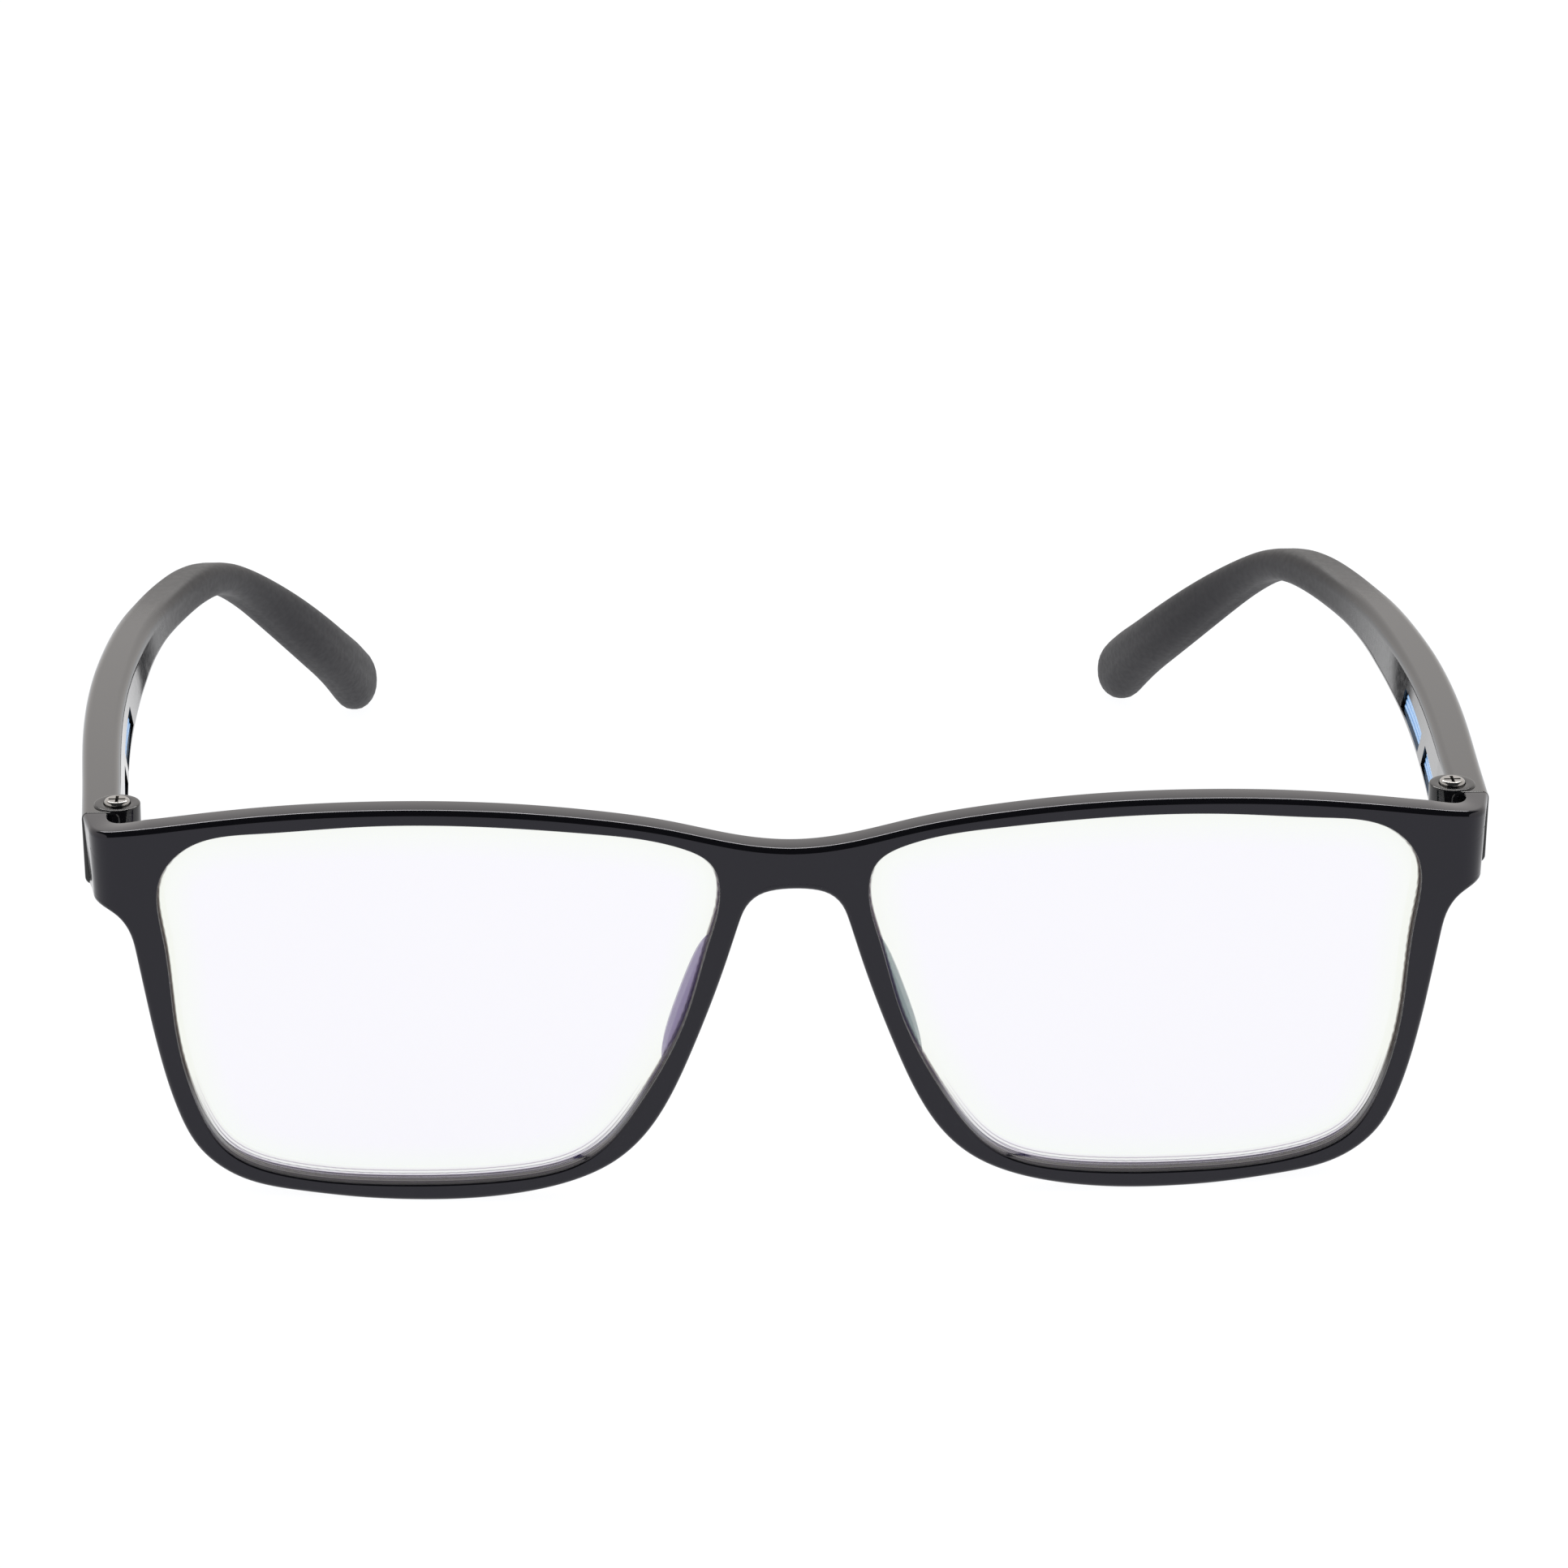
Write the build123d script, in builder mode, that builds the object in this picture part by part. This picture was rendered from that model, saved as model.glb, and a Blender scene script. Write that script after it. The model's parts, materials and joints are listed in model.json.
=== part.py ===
"""Blue light glasses: a moulded front with two plano lenses and two folding temples.

Millimetres, +Z up. The glasses stand open on a table (Z = 0), looking along -Y, with the
origin under the middle of their bounding box. "left" and "right" are the wearer's own, so
the left side is at +X. Each side is drawn once, on the left, and mirrored across YZ.
"""
from build123d import *
import os

os.makedirs("parts", exist_ok=True)

# ---- overall -----------------------------------------------------------------------
overall_depth = 147.45    # front of the bridge to the back of the ear tips
front_half_width = 71.1   # middle of the bridge to the outside of an end piece
front_y = -overall_depth / 2

# ---- front -------------------------------------------------------------------------
face_radius = 450.0        # the front curves round the face about a vertical axis
rim_depth = 3.25           # front face to back face
stock_height = 46.0        # taller than the front, trimmed by its outline
end_piece_wall = 2.6       # thickness of the side wall of the end piece
joint_depth = 11.4         # bridge front to the joint between end piece and temple
side_start_x = 69.8        # where the face would meet the flared side of the end piece
end_corner_radius = 3.0    # rounding of that corner
end_inner_radius = 2.3     # inside of the same corner
end_bottom_z = 31.3        # underside of the end piece
end_top_z = 39.1           # top of the end piece at the joint

# ---- lenses ------------------------------------------------------------------------
lens_thickness = 1.8
lens_setback = 0.9         # front face of the rim to the front of the lens
lens_seat = 0.6            # how far the lens reaches into the rim all round
lens_bevel = 0.45

# ---- nose pads ---------------------------------------------------------------------
pad_center_x = 9.9
pad_center_z = 20.6
pad_lean = 19.5            # degrees that a pad leans out from the vertical, going down

# ---- hinges ------------------------------------------------------------------------
hinge_x = 67.8             # screw axis, from the middle plane
hinge_depth = 14.0         # screw axis, from the bridge front
knuckle_radius = 2.35
knuckle_top_z = 39.2
upper_knuckle_z = 36.5     # underside of the temple's upper knuckle
lower_knuckle_z = 34.1     # top of the temple's lower knuckle
running_gap = 0.08         # between the knuckles, and between temple and end piece
screw_radius = 0.7
screw_head_radius = 1.32
screw_head_height = 0.9
screw_head_proud = 0.4     # how far the head stands above the knuckle
head_seat_z = knuckle_top_z + screw_head_proud - screw_head_height
screw_tip_z = end_bottom_z + 0.7
recess_width = 0.32        # the cross recess in the head
recess_length = 1.7
recess_depth = 0.45
screw_clearance = 0.03
nut_radius = 1.25          # round body of the threaded insert
nut_height = 2.0

# ---- temples -----------------------------------------------------------------------
# Middle line seen from above as (X, depth), with half the thickness at each point.
temple_line = [
    ((69.2, 9.4), 1.9), ((69.85, 20), 1.95), ((71.0, 38), 2.05), ((71.4, 54), 2.1),
    ((70.8, 70), 2.15), ((68.85, 85), 2.2), ((65.2, 97), 2.3), ((60.1, 109), 2.35),
    ((54.7, 120), 2.35), ((50.2, 132), 2.35), ((46.6, 149), 2.35),
]

# ---- inlays on the inner faces of the temples ----------------------------------------
pocket_depth = 0.8
inlay_thickness = 0.5
inlay_height = 2.6
inlay_slant = 1.2          # how far each slanting end leans along the temple
inlay_end_gap = 0.5        # bare pocket floor at each end
pocket_z = 33.4            # middle height of the pockets
pocket_ends = [((67.98, 21.0), (68.97, 37.2)), ((69.08, 39.6), (69.46, 54.6))]


def level(z):
    """A horizontal sketch plane whose origin is under the front of the bridge."""
    return Plane(origin=(0, front_y, z))


def elevation(depth):
    """A plane facing the wearer's front: X across, local Y up, extruded backwards by minus."""
    return Plane(origin=(0, front_y + depth, 0), x_dir=(1, 0, 0), z_dir=(0, -1, 0))


def profile(x):
    """A side-on plane: local X runs back from the bridge front, local Y is up."""
    return Plane(origin=(x, front_y, 0), x_dir=(0, 1, 0), z_dir=(1, 0, 0))


def bend(x, radius):
    """How far back the curved front lies at a distance x from the middle."""
    return face_radius - (radius**2 - x**2) ** 0.5


def face_arc(x1, x2, setback):
    """An arc of the front's curve, set back from its face, between two distances across."""
    r = face_radius - setback
    xm = (x1 + x2) / 2
    return ThreePointArc((x1, bend(x1, r)), (xm, bend(xm, r)), (x2, bend(x2, r)))


def opening_outline(grow):
    """The left lens opening seen from the front, moved outwards by grow all round."""
    points = [
        (7.45, 34.0), (8.2, 36.9), (11.4, 38.85), (20.0, 40.35), (31.0, 41.05),
        (43.0, 40.85), (53.0, 39.85), (60.3, 38.05), (63.15, 34.6), (63.0, 27.5),
        (62.2, 18.2), (60.4, 10.2), (57.2, 4.85), (51.0, 2.45), (40.0, 1.8),
        (29.0, 2.45), (20.8, 4.9), (15.3, 11.4), (11.0, 20.0), (8.6, 28.4),
    ]
    moved = []
    for i, point in enumerate(points):
        before = Vector(points[i - 1])
        after = Vector(points[(i + 1) % len(points)])
        outwards = (after - before).normalized().rotate(Axis.Z, 90)
        moved.append(Vector(point) + outwards * grow)
    return Spline(*moved, periodic=True)


# ---- front frame ---------------------------------------------------------------------
# Half of the plan: the curved face, the corner, the side wall, the joint face and the back.
with BuildSketch(level(0)) as front_plan:
    with BuildLine():
        inner_x = front_half_width - end_piece_wall
        back_y = bend(inner_x, face_radius - rim_depth)
        face = face_arc(0, side_start_x, 0)
        side = Line(face @ 1, (front_half_width, joint_depth))
        joint = Line(side @ 1, (inner_x, joint_depth))
        inside = Line(joint @ 1, (inner_x, back_y))
        back = face_arc(inner_x, 0, rim_depth)
        Line(back @ 1, face @ 0)
    make_face()
    corner = front_plan.vertices().sort_by_distance((inner_x, front_y + back_y, 0))[0]
    fillet(corner, radius=end_inner_radius)
    corner = front_plan.vertices().sort_by_distance((side_start_x, front_y + 5.4, 0))[0]
    fillet(corner, radius=end_corner_radius)
    mirror(about=Plane.YZ)

# The outline seen from the front, half of it and its mirror image.
with BuildSketch(elevation(-1)) as front_outline:
    with BuildLine():
        top = Spline(
            (0, 38.6), (6, 39.25), (12.4, 40.7), (20, 41.85), (30, 42.6), (40, 42.6),
            (50, 41.95), (60, 40.6), (66, 39.65), (72, 39.0),
            tangents=[(1, 0), (1, -0.12)],
        )
        Line(top @ 1, (72, end_bottom_z))
        Line((72, end_bottom_z), (69.9, end_bottom_z))
        under = Spline(
            (69.9, end_bottom_z), (68.2, 30.6), (66.75, 29.0), (65.95, 26.2), (64.9, 20.3),
            (63.8, 14.7), (62.25, 9.1), (60.25, 5.1), (56.4, 2.1), (49.8, 0.65), (44.3, 0.15),
            (38.8, 0.0), (33.3, 0.2), (27.8, 0.9), (22.3, 2.35), (18.1, 4.5), (15.0, 7.5),
            (13.0, 10.6), (10.3, 16.6), (7.95, 22.9), (6.6, 27.0), (5.5, 30.6), (4.75, 32.4),
            (3.6, 33.55), (2.0, 34.1), (0, 34.25),
            mode=Mode.PRIVATE,
        )
        # Cut at the corners into the end piece, temporal side, bottom, nasal side and arch.
        cuts = [0.0, 0.06, 0.25, 0.4, 0.65, 0.9, 1.0]
        for start, end in zip(cuts, cuts[1:]):
            add(under.trim(start, end))
        Line(under @ 1, top @ 0)
    make_face()
    mirror(about=Plane.YZ)

with BuildSketch(elevation(-1)) as opening:
    with BuildLine():
        opening_outline(0)
    make_face()

with BuildSketch(elevation(-1)) as lens_outline:
    with BuildLine():
        opening_outline(lens_seat)
    make_face()

# A lens blank is the curved slab between two arcs, cut to the lens outline.
with BuildPart() as lens_blank:
    with BuildSketch(level(0)):
        with BuildLine():
            outer = face_arc(2, 66, lens_setback)
            inner = face_arc(66, 2, lens_setback + lens_thickness)
            Line(outer @ 1, inner @ 0)
            Line(inner @ 1, outer @ 0)
        make_face()
    extrude(amount=stock_height)
    extrude(lens_outline.sketch, amount=-(joint_depth + 2), mode=Mode.INTERSECT)

# The middle knuckle and its web, which ties it to the end wall of the end piece.
with BuildSketch(level(lower_knuckle_z + running_gap)) as middle_knuckle:
    with Locations((hinge_x, hinge_depth)):
        Circle(knuckle_radius)
    with Locations((hinge_x, hinge_depth)):
        Rectangle(knuckle_radius, hinge_depth - joint_depth + 1, align=(Align.MIN, Align.MAX))

with BuildPart() as front_half:
    extrude(front_plan.sketch, amount=stock_height)
    extrude(front_outline.sketch, amount=-(joint_depth + 3), mode=Mode.INTERSECT)
    extrude(opening.sketch, amount=-(joint_depth - 2), mode=Mode.SUBTRACT)
    split(bisect_by=Plane.YZ, keep=Keep.TOP)
    add(lens_blank.part, mode=Mode.SUBTRACT)
    extrude(middle_knuckle.sketch, amount=upper_knuckle_z - lower_knuckle_z - 2 * running_gap)
    with Locations((hinge_x, front_y + hinge_depth, upper_knuckle_z)):
        Hole(radius=screw_radius + screw_clearance, depth=6)

with BuildPart() as front_frame:
    add(front_half.part)
    mirror(about=Plane.YZ)

with BuildPart() as lens_left:
    add(lens_blank.part)
    broad_faces = lens_left.faces().sort_by(SortBy.AREA)[-2:]
    chamfer(broad_faces.edges(), length=lens_bevel)

# ---- nose pads -----------------------------------------------------------------------
# Each pad grows out of the back of the nasal rim and flares away from the nose.
pad_sections = [
    (3.0, 0.0, 16.5, 1.6), (4.4, 0.3, 16.0, 2.4), (6.2, 0.8, 13.5, 2.2), (7.2, 1.1, 11.0, 1.1),
]
with BuildPart() as nose_pad_left:
    for depth, flare, length, width in pad_sections:
        with BuildSketch(elevation(depth)):
            with Locations((pad_center_x + 0.943 * flare, pad_center_z + 0.334 * flare)):
                SlotOverall(length, width, rotation=pad_lean - 90)
    loft()
    add(front_frame.part, mode=Mode.SUBTRACT)

# ---- temples -------------------------------------------------------------------------
def temple_face_line(side):
    """The outer (side = 1) or inner (side = -1) face of the temple seen from above."""
    points = []
    for i, (point, half) in enumerate(temple_line):
        before = Vector(temple_line[max(i - 1, 0)][0])
        after = Vector(temple_line[min(i + 1, len(temple_line) - 1)][0])
        outwards = (after - before).normalized().rotate(Axis.Z, -90)
        points.append(Vector(point) + outwards * half * side)
    return Spline(*points)


with BuildSketch(level(0)) as temple_plan:
    with BuildLine():
        outer_line = temple_face_line(1)
        inner_line = temple_face_line(-1)
        Line(outer_line @ 0, inner_line @ 0)
        Line(outer_line @ 1, inner_line @ 1)
    make_face()

with BuildSketch(profile(30)) as temple_side:
    with BuildLine():
        top_line = Line((joint_depth + running_gap, end_top_z), (84, 35.12))
        over_ear = Spline(
            top_line @ 1, (92, 35.0), (99, 34.6), (104.5, 33.1), (111, 29.6), (118, 24.8),
            (126, 19.1), (134, 13.7), (140, 10.0),
            tangents=[top_line % 1, (0.85, -0.55)],
        )
        ThreePointArc(over_ear @ 1, (overall_depth - 0.2, 3.8), (143.4, 0))
        crook = Spline(
            (143.4, 0), (140, 1.1), (134, 5.6), (126, 12.0), (117, 20.0), (110, 26.0),
            (105, 29.0), (99, 30.4), (92, 30.75), (84, 30.83),
        )
        underside = Line(crook @ 1, (joint_depth + running_gap, end_bottom_z))
        Line(underside @ 1, top_line @ 0)
    make_face()


def pocket_plane(start, end, depth):
    """A plane along the inner face of the temple, sunk by depth, with local Y up."""
    along = Vector(start[0] - end[0], start[1] - end[1], 0).normalized()
    inward = along.cross(Vector(0, 0, 1))
    middle = Vector((start[0] + end[0]) / 2, front_y + (start[1] + end[1]) / 2, pocket_z)
    return Plane(origin=middle - inward * depth, x_dir=along, z_dir=inward)


def pocket_length(start, end):
    """The length of a pocket along the temple."""
    return Vector(end[0] - start[0], end[1] - start[1], 0).length


def window(length, height, skew):
    """A parallelogram window, longest along the temple, with slanting ends."""
    Polygon(
        (-length / 2, -height / 2), (length / 2 - skew, -height / 2),
        (length / 2, height / 2), (-length / 2 + skew, height / 2),
    )


with BuildPart() as temple_left:
    extrude(temple_plan.sketch, amount=stock_height)
    extrude(temple_side.sketch, amount=stock_height, mode=Mode.INTERSECT)
    for bottom, top_z in ((end_bottom_z, lower_knuckle_z), (upper_knuckle_z, knuckle_top_z)):
        with BuildSketch(level(bottom)):
            with Locations((hinge_x, hinge_depth)):
                Circle(knuckle_radius)
        extrude(amount=top_z - bottom)
    # The slot between the knuckles, which the front's middle knuckle fills.
    slot_height = upper_knuckle_z - lower_knuckle_z
    slot_radius = knuckle_radius + running_gap
    with BuildSketch(level(lower_knuckle_z)):
        with Locations((hinge_x, hinge_depth)):
            Circle(slot_radius)
            Rectangle(slot_radius, knuckle_radius + 1, align=(Align.MIN, Align.MAX))
            Rectangle(2 * slot_radius, knuckle_radius + 1, align=(Align.MAX, Align.MAX))
    extrude(amount=slot_height, mode=Mode.SUBTRACT)
    # Holes for the head, the shank and the threaded insert.
    with BuildSketch(level(screw_tip_z)):
        with Locations((hinge_x, hinge_depth)):
            Circle(screw_radius)
    extrude(amount=head_seat_z - screw_tip_z, mode=Mode.SUBTRACT)
    with BuildSketch(level(head_seat_z)):
        with Locations((hinge_x, hinge_depth)):
            Circle(screw_head_radius)
    extrude(amount=2, mode=Mode.SUBTRACT)
    with BuildSketch(level(end_bottom_z)):
        with Locations((hinge_x, hinge_depth)):
            Circle(nut_radius)
    extrude(amount=nut_height, mode=Mode.SUBTRACT)
    # Pockets for the inlays.
    for start, end in pocket_ends:
        with BuildSketch(pocket_plane(start, end, pocket_depth)):
            window(pocket_length(start, end), inlay_height, inlay_slant)
        extrude(amount=2, mode=Mode.SUBTRACT)

with BuildPart() as hinge_screw_left:
    with BuildSketch(level(screw_tip_z)):
        with Locations((hinge_x, hinge_depth)):
            Circle(screw_radius)
    extrude(amount=head_seat_z - screw_tip_z)
    with BuildSketch(level(head_seat_z)):
        with Locations((hinge_x, hinge_depth)):
            Circle(screw_head_radius)
    extrude(amount=screw_head_height)
    fillet(hinge_screw_left.edges().sort_by(Axis.Z)[-1], radius=0.35)
    with BuildSketch(level(head_seat_z + screw_head_height - recess_depth)):
        with Locations((hinge_x, hinge_depth)):
            Rectangle(recess_length, recess_width)
            Rectangle(recess_width, recess_length)
    extrude(amount=1, mode=Mode.SUBTRACT)

with BuildPart() as hinge_nut_left:
    with BuildSketch(level(end_bottom_z)):
        with Locations((hinge_x, hinge_depth)):
            Circle(nut_radius)
            Circle(screw_radius, mode=Mode.SUBTRACT)
    extrude(amount=nut_height)

with BuildPart() as inlay_front_left:
    with BuildSketch(pocket_plane(*pocket_ends[0], pocket_depth)):
        window(pocket_length(*pocket_ends[0]) - 2 * inlay_end_gap, inlay_height, inlay_slant)
    extrude(amount=inlay_thickness)

with BuildPart() as inlay_rear_left:
    with BuildSketch(pocket_plane(*pocket_ends[1], pocket_depth)):
        window(pocket_length(*pocket_ends[1]) - 2 * inlay_end_gap, inlay_height, inlay_slant)
    extrude(amount=inlay_thickness)

# ---- labels, the right side and files --------------------------------------------------
front_frame.part.label = "front_frame"
export_step(front_frame.part, "parts/front_frame.step")

left_pieces = {
    "lens": lens_left,
    "nose_pad": nose_pad_left,
    "temple": temple_left,
    "hinge_screw": hinge_screw_left,
    "hinge_nut": hinge_nut_left,
    "inlay_front": inlay_front_left,
    "inlay_rear": inlay_rear_left,
}
for name, left in left_pieces.items():
    left.part.label = name + "_left"
    export_step(left.part, "parts/" + name + "_left.step")
    with BuildPart() as right:
        mirror(left.part, about=Plane.YZ)
    right.part.label = name + "_right"
    export_step(right.part, "parts/" + name + "_right.step")
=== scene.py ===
# %% [markdown]
# # Blue light glasses
#
# A pair of glasses for screen work in black injection-moulded plastic: one moulded front with two
# flat-powered lenses, and two temples that fold on small screwed hinges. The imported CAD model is
# the fixed frame. Each visible piece is built here over its CAD piece, in the same place.
#
# Lengths in this lesson are millimetres until a mesh is made. "depth" is measured backwards from
# the front of the bridge, x is across towards the wearer's left, and z is up from the table.

# %% Load the frame
import json
import math

import bmesh
import bpy
import numpy as np
from mathutils import Matrix, Vector

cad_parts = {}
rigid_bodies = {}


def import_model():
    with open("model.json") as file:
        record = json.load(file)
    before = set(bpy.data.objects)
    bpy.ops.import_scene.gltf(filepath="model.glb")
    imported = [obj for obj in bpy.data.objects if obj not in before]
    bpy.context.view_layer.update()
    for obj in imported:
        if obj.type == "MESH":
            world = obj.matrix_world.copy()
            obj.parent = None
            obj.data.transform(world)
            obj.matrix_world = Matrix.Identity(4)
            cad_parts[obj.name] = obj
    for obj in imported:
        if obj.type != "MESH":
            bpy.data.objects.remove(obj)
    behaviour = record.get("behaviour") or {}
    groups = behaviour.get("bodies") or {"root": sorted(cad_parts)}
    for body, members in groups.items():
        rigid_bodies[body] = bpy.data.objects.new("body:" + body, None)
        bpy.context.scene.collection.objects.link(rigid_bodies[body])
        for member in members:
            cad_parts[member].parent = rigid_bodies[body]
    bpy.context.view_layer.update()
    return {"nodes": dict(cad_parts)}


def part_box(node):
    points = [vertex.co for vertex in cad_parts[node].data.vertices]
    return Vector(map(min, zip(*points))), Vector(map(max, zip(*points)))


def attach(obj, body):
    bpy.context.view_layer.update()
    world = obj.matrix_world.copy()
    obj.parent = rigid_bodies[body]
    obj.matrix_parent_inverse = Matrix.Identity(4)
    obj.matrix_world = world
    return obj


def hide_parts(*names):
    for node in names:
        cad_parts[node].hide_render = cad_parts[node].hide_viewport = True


# Start from an empty scene.
for leftover in list(bpy.data.objects):
    bpy.data.objects.remove(leftover)
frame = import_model()
MM = 0.001
BRIDGE_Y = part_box("front_frame")[0].y / MM
print("pieces in the frame:", sorted(frame["nodes"]))
print("front of the bridge at y =", round(BRIDGE_Y, 3), "mm")

# %% [markdown]
# ## Curves
#
# The outlines of the glasses are flowing curves through a few chosen points. They could be Bezier
# objects, but a natural cubic spline solved as one small linear system gives the same curve as
# arrays, which the surfaces below are computed from.

# %% A smooth curve through a few points
def flowing(points, closed=False, start=None, end=None, count=2400):
    """A cubic through the points with even curvature where its pieces meet. The unknowns are the
    slopes at the points: at each point the slopes on both sides agree, and so do the second
    derivatives. The parameter is the distance between points. start and end fix end slopes."""
    p = np.array(points, float)
    if closed:
        p = np.vstack([p, p[:1]])
    gap = np.linalg.norm(np.diff(p, axis=0), axis=1)
    rate = np.diff(p, axis=0) / gap[:, None]
    n = len(p)
    a = np.zeros((n, n))
    b = np.zeros_like(p)
    i = np.arange(1, n - 1)
    a[i, i - 1] = 1 / gap[:-1]
    a[i, i] = 2 / gap[:-1] + 2 / gap[1:]
    a[i, i + 1] = 1 / gap[1:]
    b[i] = 3 * (rate[:-1] / gap[:-1, None] + rate[1:] / gap[1:, None])
    if closed:
        a[0, [0, 1, n - 2]] = 2 / gap[0] + 2 / gap[-1], 1 / gap[0], 1 / gap[-1]
        b[0] = 3 * (rate[0] / gap[0] + rate[-1] / gap[-1])
        a[-1, [0, -1]] = 1, -1
    else:
        a[0, [0, 1]] = (2, 1) if start is None else (1, 0)
        b[0] = 3 * rate[0] if start is None else start
        a[-1, [-1, -2]] = (2, 1) if end is None else (1, 0)
        b[-1] = 3 * rate[-1] if end is None else end
    slope = np.linalg.solve(a, b)
    at = np.concatenate([[0], np.cumsum(gap)])
    t = np.linspace(0, at[-1], count)
    k = np.clip(np.searchsorted(at, t, side="right") - 1, 0, n - 2)
    h = gap[k][:, None]
    u = ((t - at[k]) / gap[k])[:, None]
    return (
        p[k] * (2 * u**3 - 3 * u**2 + 1)
        + p[k + 1] * (3 * u**2 - 2 * u**3)
        + slope[k] * h * (u**3 - 2 * u**2 + u)
        + slope[k + 1] * h * (u**3 - u**2)
    )


def walked(path):
    """Distance walked along a path up to each of its points."""
    return np.concatenate([[0], np.cumsum(np.linalg.norm(np.diff(path, axis=0), axis=1))])


def spaced(path, spacing):
    """The same path with evenly spaced points, both ends kept."""
    way = walked(path)
    at = np.linspace(0, way[-1], max(2, round(way[-1] / spacing) + 1))
    return np.stack([np.interp(at, way, path[:, c]) for c in range(path.shape[1])], axis=1)


def inward(path):
    """Unit normals on the right-hand side of a path, from the slope between neighbours."""
    slope = np.gradient(path, axis=0)
    slope /= np.linalg.norm(slope, axis=1)[:, None]
    return np.stack([slope[:, 1], -slope[:, 0]], axis=1)


# %% [markdown]
# ## From grids to closed meshes
#
# Every piece is one or more grids of points. A grid may close on itself along its rows, its
# columns or both, and an end ring may be capped. Doubles are merged, so that seams and poles are
# closed, and then the faces are turned outwards.

# %% Grids become a mesh
def shell(points, rows_close=False, columns_close=True, caps=True):
    """A grid of points with how it closes. Corner (i, j) joins (i+1, j), (i+1, j+1), (i, j+1)."""
    r, c = points.shape[:2]
    i = np.arange(r if rows_close else r - 1)[:, None]
    j = np.arange(c if columns_close else c - 1)[None, :]
    i2, j2 = (i + 1) % r, (j + 1) % c
    quads = np.stack(np.broadcast_arrays(i * c + j, i2 * c + j, i2 * c + j2, i * c + j2), -1)
    faces = quads.reshape(-1, 4).tolist()
    if caps and columns_close and not rows_close:
        faces += [list(range(c)), list(range((r - 1) * c, r * c))]
    return points.reshape(-1, 3), faces


def piece(name, shells, sharp=38.0, mirrored=False, drop_middle=False):
    """One mesh object from several shells, given in (x, depth, z) millimetres."""
    points, faces, first = [], [], 0
    for p, f in shells:
        points.append(p)
        faces += [[first + v for v in face] for face in f]
        first += len(p)
    place = np.vstack(points) + [0, BRIDGE_Y, 0]
    if mirrored:
        place = place * [-1, 1, 1]
    mesh = bpy.data.meshes.new(name)
    mesh.from_pydata((place * MM).tolist(), [], faces)
    bm = bmesh.new()
    bm.from_mesh(mesh)
    bmesh.ops.remove_doubles(bm, verts=bm.verts, dist=2e-6)
    bmesh.ops.dissolve_degenerate(bm, edges=bm.edges, dist=1e-6)
    if drop_middle:
        inside = [f for f in bm.faces if all(abs(v.co.x) < 1e-6 for v in f.verts)]
        bmesh.ops.delete(bm, geom=inside, context="FACES")
    bmesh.ops.recalc_face_normals(bm, faces=bm.faces)
    open_edges = sum(len(e.link_faces) != 2 for e in bm.edges)
    volume = bm.calc_volume(signed=True) * 1e9
    bm.to_mesh(mesh)
    bm.free()
    mesh.shade_smooth()
    mesh.set_sharp_from_angle(angle=math.radians(sharp))
    made = bpy.data.objects.new(name, mesh)
    bpy.context.scene.collection.objects.link(made)
    print(f"{name}: {len(mesh.polygons)} faces, {volume:.0f} mm3, {open_edges} open edges")
    return made


def quarter(count=6):
    """Sine and cosine at even steps through a right angle, for rounded edges."""
    angle = np.linspace(0, math.pi / 2, count)
    return np.sin(angle), np.cos(angle)


# %% [markdown]
# ## The front
#
# The front is one moulding: a plate that curves gently round the face, turns a tight corner at
# each end piece, and has two windows for the lenses. Box modelling with a subdivision surface
# would wander off the outline. Here a cross-section is carried round the lens window: it rounds
# the outer edge, runs along the rear face to the window, comes forward along the window's wall
# and crosses the front face. The plate is drawn flat first, in distance along the face and
# height, and is then bent round the plan of the front.

# %% Outline of half the front
FACE_RADIUS, RIM_DEPTH, SIDE_X, WALL = 450.0, 3.25, 71.1, 2.6
JOINT_DEPTH, CORNER, INNER_CORNER = 11.4, 3.0, 2.3
END_TOP, END_BOTTOM = 39.1, 31.3

# How far the outer and inner faces lean in at DRAFT_HEIGHT below the top, no further than
# DRAFT_CLIP below it, and where along the face the lean of the end piece starts.
OUTER_DRAFT, INNER_DRAFT, DRAFT_HEIGHT, DRAFT_CLIP = 0.35, 0.75, 7.8, 8
LEAN_START = 67

# The side flares outwards to the joint. The corner's middle is a radius away from the side line
# and from the face: a point on the line's inner parallel, at the right distance from the head.
SIDE_START = np.array([69.8, FACE_RADIUS - math.sqrt(FACE_RADIUS**2 - 69.8**2)])
side_way = np.array([SIDE_X, JOINT_DEPTH]) - SIDE_START
side_way /= np.linalg.norm(side_way)
side_out = np.array([side_way[1], -side_way[0]])
steps = np.linspace(0, 6, 6001)[:, None]
tries = SIDE_START - side_out * CORNER + side_way * steps
gaps = np.abs(np.hypot(tries[:, 0], tries[:, 1] - FACE_RADIUS) - (FACE_RADIUS - CORNER))
corner_x, corner_depth = tries[np.argmin(gaps)]
corner_start = math.asin(corner_x / (FACE_RADIUS - CORNER))
corner_end = math.pi / 2 - math.atan2(side_way[0], side_way[1])
print("flare of the side:", round(90 - math.degrees(corner_end), 1), "degrees")
inner_x = SIDE_X - WALL
inner_radius = FACE_RADIUS - RIM_DEPTH
inner_corner_x = inner_x - INNER_CORNER
inner_corner_depth = FACE_RADIUS - math.sqrt((inner_radius - INNER_CORNER) ** 2 - inner_corner_x**2)
inner_corner_start = math.asin(inner_corner_x / (inner_radius - INNER_CORNER))


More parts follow.
